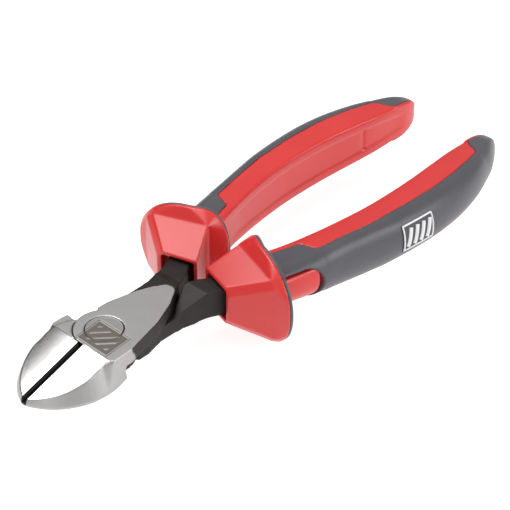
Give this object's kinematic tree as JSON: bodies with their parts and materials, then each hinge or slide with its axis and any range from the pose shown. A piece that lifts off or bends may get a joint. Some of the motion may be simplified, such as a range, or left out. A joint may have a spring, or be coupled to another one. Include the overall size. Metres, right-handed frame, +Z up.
{
  "type": "diagonal cutting pliers",
  "caption": "Hand-held diagonal wire cutters with a riveted lap joint, bevelled jaws, hand guards and two-component curved grips.",
  "frame": {"origin": "on the rivet's axis, in the plane of the joint's flat underside", "axes": "+X across the tool, +Y from the jaws towards the handle ends, +Z up along the rivet"},
  "size_m": [0.0619, 0.1794, 0.0296],
  "materials": {
    "ground_steel": "satin",
    "rivet_steel": "satin",
    "red_hard_plastic": "satin",
    "grey_soft_rubber": "matte",
    "badge_plastic": "matte"
  },
  "bodies": {
    "lower_half": {"lower_lever": "ground_steel", "pivot_rivet": "rivet_steel", "right_handle_core": "red_hard_plastic", "right_soft_grip": "grey_soft_rubber", "grip_badge": "badge_plastic"},
    "upper_half": {"upper_lever": "ground_steel", "left_handle_core": "red_hard_plastic", "left_soft_grip": "grey_soft_rubber"}
  },
  "joints": [
    {"name": "rivet_pivot", "type": "hinge", "parent": "lower_half", "child": "upper_half", "pos_m": [0, 0, 0], "axis": [0, 0, 1], "range_deg": [0, 45]}
  ]
}
